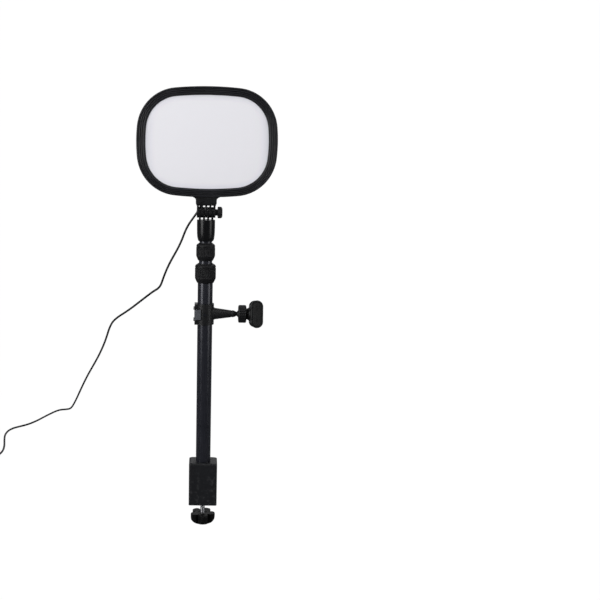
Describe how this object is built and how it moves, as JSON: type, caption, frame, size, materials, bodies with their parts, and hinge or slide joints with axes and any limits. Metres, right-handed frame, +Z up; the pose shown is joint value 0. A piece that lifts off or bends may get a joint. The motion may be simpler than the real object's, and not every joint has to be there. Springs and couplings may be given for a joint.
{
  "type": "desk clamp led panel light",
  "caption": "Flat LED panel light on a telescopic pole with a screw desk clamp, twist-lock collars, tilting head and a sliding phone holder arm.",
  "frame": {"origin": "on the clamp screw's axis, on the underside of the upper jaw's pad, which is the desk's top plane", "axes": "+Z up along the pole; the lamp looks along -Y; the desk lies behind the pole, towards +Y; +X to the right of someone facing the lamp"},
  "size_m": [0.5406, 0.4102, 0.7561],
  "materials": {
    "black_plastic": "fine satin texture",
    "gloss_black": "polished",
    "soft_black": "ribbed matt",
    "black_anodised": "satin black anodised",
    "clamp_black": "matt powder coat",
    "opal": "opal diffuser, unlit",
    "clear_acrylic": "clear",
    "white_film": "white",
    "bare_aluminium": "brushed",
    "steel": "zinc plated",
    "brass": "turned",
    "black_rubber": "matt",
    "grey_plastic": "light grey",
    "board_green": "solder mask",
    "strip_white": "white strip board",
    "nylon": "natural nylon",
    "cord_black": "soft jacket"
  },
  "bodies": {
    "clamp": {"clamp_frame": "clamp_black", "jaw_pad": "black_rubber", "threaded_bush": "steel", "pole_end_plug": "bare_aluminium", "pole_fixing_bolt": "steel", "pole_outer_tube": "black_anodised", "lower_lock_sleeve": "black_plastic", "lower_collet": "nylon"},
    "clamp_foot": {"foot_cap": "steel", "foot_pad": "black_rubber"},
    "clamp_screw": {"clamp_screw": "steel", "star_knob": "black_plastic"},
    "lower_collar": {"lower_collar": "soft_black"},
    "middle_pole": {"pole_mid_tube": "black_anodised", "mid_tube_foot": "nylon", "upper_lock_sleeve": "black_plastic", "upper_collet": "nylon"},
    "upper_collar": {"upper_collar": "soft_black"},
    "upper_pole": {"pole_inner_tube": "black_anodised", "inner_tube_foot": "nylon", "stud_plug": "black_anodised"},
    "adapter": {"hinge_adapter": "gloss_black", "adapter_insert": "brass"},
    "head": {"neck_bracket": "black_plastic", "neck_screws": "steel", "hinge_lock_nut": "steel", "front_bezel": "black_plastic", "diffuser_panel": "opal", "light_guide_plate": "clear_acrylic", "reflector_sheet": "white_film", "backing_plate": "bare_aluminium", "led_strips": "strip_white", "driver_board": "board_green", "back_cover": "black_plastic", "cover_screws": "steel", "cable_gland": "black_rubber", "usb_cord": "cord_black", "cord_coil": "cord_black", "usb_plug_body": "black_plastic", "usb_plug_shell": "steel"},
    "tilt_knob": {"hinge_bolt": "steel", "hinge_knob": "black_plastic"},
    "dimmer_button": {"dimmer_button": "black_rubber"},
    "power_button": {"power_button": "black_rubber"},
    "brighter_button": {"brighter_button": "black_rubber"},
    "holder_liner": {"ring_liner": "black_rubber"},
    "holder_ring": {"holder_ring": "black_plastic", "latch_pin": "steel", "ring_screw": "black_anodised", "holder_arm": "black_plastic"},
    "latch_lever": {"latch_lever": "grey_plastic"},
    "ball_socket": {"ball_socket": "black_plastic"},
    "ball_nut": {"ball_nut": "black_plastic"},
    "clip": {"clip_body": "black_plastic", "clip_front_pad": "black_rubber", "clip_springs": "steel"},
    "clip_jaw": {"clip_slide_jaw": "black_plastic", "clip_rear_pad": "black_rubber"}
  },
  "joints": [
    {"name": "clamp_travel", "type": "slide", "parent": "clamp", "child": "clamp_foot", "axis": [0, 0, 1], "range_m": [-0.0123, 0.0214]},
    {"name": "clamp_knob_turn", "type": "hinge", "parent": "clamp_foot", "child": "clamp_screw", "pos_m": [0, 0, -0.05], "axis": [0, 0, 1], "range_deg": [-3540, 6160]},
    {"name": "lower_collar_twist", "type": "hinge", "parent": "clamp", "child": "lower_collar", "pos_m": [0, -0.037, 0.35], "axis": [0, 0, 1], "range_deg": [0, 120]},
    {"name": "lower_extension", "type": "slide", "parent": "clamp", "child": "middle_pole", "axis": [0, 0, 1], "range_m": [0, 0.25]},
    {"name": "upper_collar_twist", "type": "hinge", "parent": "middle_pole", "child": "upper_collar", "pos_m": [0, -0.037, 0.385], "axis": [0, 0, 1], "range_deg": [0, 120]},
    {"name": "upper_extension", "type": "slide", "parent": "middle_pole", "child": "upper_pole", "axis": [0, 0, 1], "range_m": [0, 0.25]},
    {"name": "head_pan", "type": "hinge", "parent": "upper_pole", "child": "adapter", "pos_m": [0, -0.037, 0.42], "axis": [0, 0, 1], "range_deg": [-170, 170]},
    {"name": "head_tilt", "type": "hinge", "parent": "adapter", "child": "head", "pos_m": [0, -0.037, 0.4501], "axis": [1, 0, 0], "range_deg": [-45, 90]},
    {"name": "tilt_knob_turn", "type": "hinge", "parent": "head", "child": "tilt_knob", "pos_m": [0, -0.037, 0.4501], "axis": [1, 0, 0], "range_deg": [0, 360]},
    {"name": "dimmer_button_press", "type": "slide", "parent": "head", "child": "dimmer_button", "axis": [0, -1, 0], "range_m": [0, 0.0005], "stiffness_N_per_m": 1500},
    {"name": "power_button_press", "type": "slide", "parent": "head", "child": "power_button", "axis": [0, -1, 0], "range_m": [0, 0.0005], "stiffness_N_per_m": 1500},
    {"name": "brighter_button_press", "type": "slide", "parent": "head", "child": "brighter_button", "axis": [0, -1, 0], "range_m": [0, 0.0005], "stiffness_N_per_m": 1500},
    {"name": "holder_slide", "type": "slide", "parent": "clamp", "child": "holder_liner", "axis": [0, 0, 1], "range_m": [-0.235, 0.034]},
    {"name": "holder_swivel", "type": "hinge", "parent": "holder_liner", "child": "holder_ring", "pos_m": [0, -0.037, 0.2812], "axis": [0, 0, 1], "continuous": true},
    {"name": "latch_lever_open", "type": "hinge", "parent": "holder_ring", "child": "latch_lever", "pos_m": [-0.0156, -0.0488, 0.2812], "axis": [0, 0, -1], "range_deg": [0, 100]},
    {"name": "ball_tilt", "type": "hinge", "parent": "holder_ring", "child": "ball_socket", "pos_m": [0.06, -0.037, 0.2812], "axis": [0, 1, 0], "range_deg": [-15, 15]},
    {"name": "ball_nut_turn", "type": "hinge", "parent": "ball_socket", "child": "ball_nut", "pos_m": [0.06, -0.037, 0.2812], "axis": [1, 0, 0], "range_deg": [0, 360]},
    {"name": "clip_spin", "type": "hinge", "parent": "ball_socket", "child": "clip", "pos_m": [0.06, -0.037, 0.2812], "axis": [1, 0, 0], "continuous": true},
    {"name": "clip_open", "type": "slide", "parent": "clip", "child": "clip_jaw", "axis": [0, 0.9848, -0.1736], "range_m": [0, 0.026], "stiffness_N_per_m": 150, "springref_m": -0.02, "deforming": ["clip_springs"]}
  ],
  "couplings": [
    {"joint": "clamp_travel", "follows": "clamp_knob_turn", "m_per_rad": 0.00019894}
  ]
}
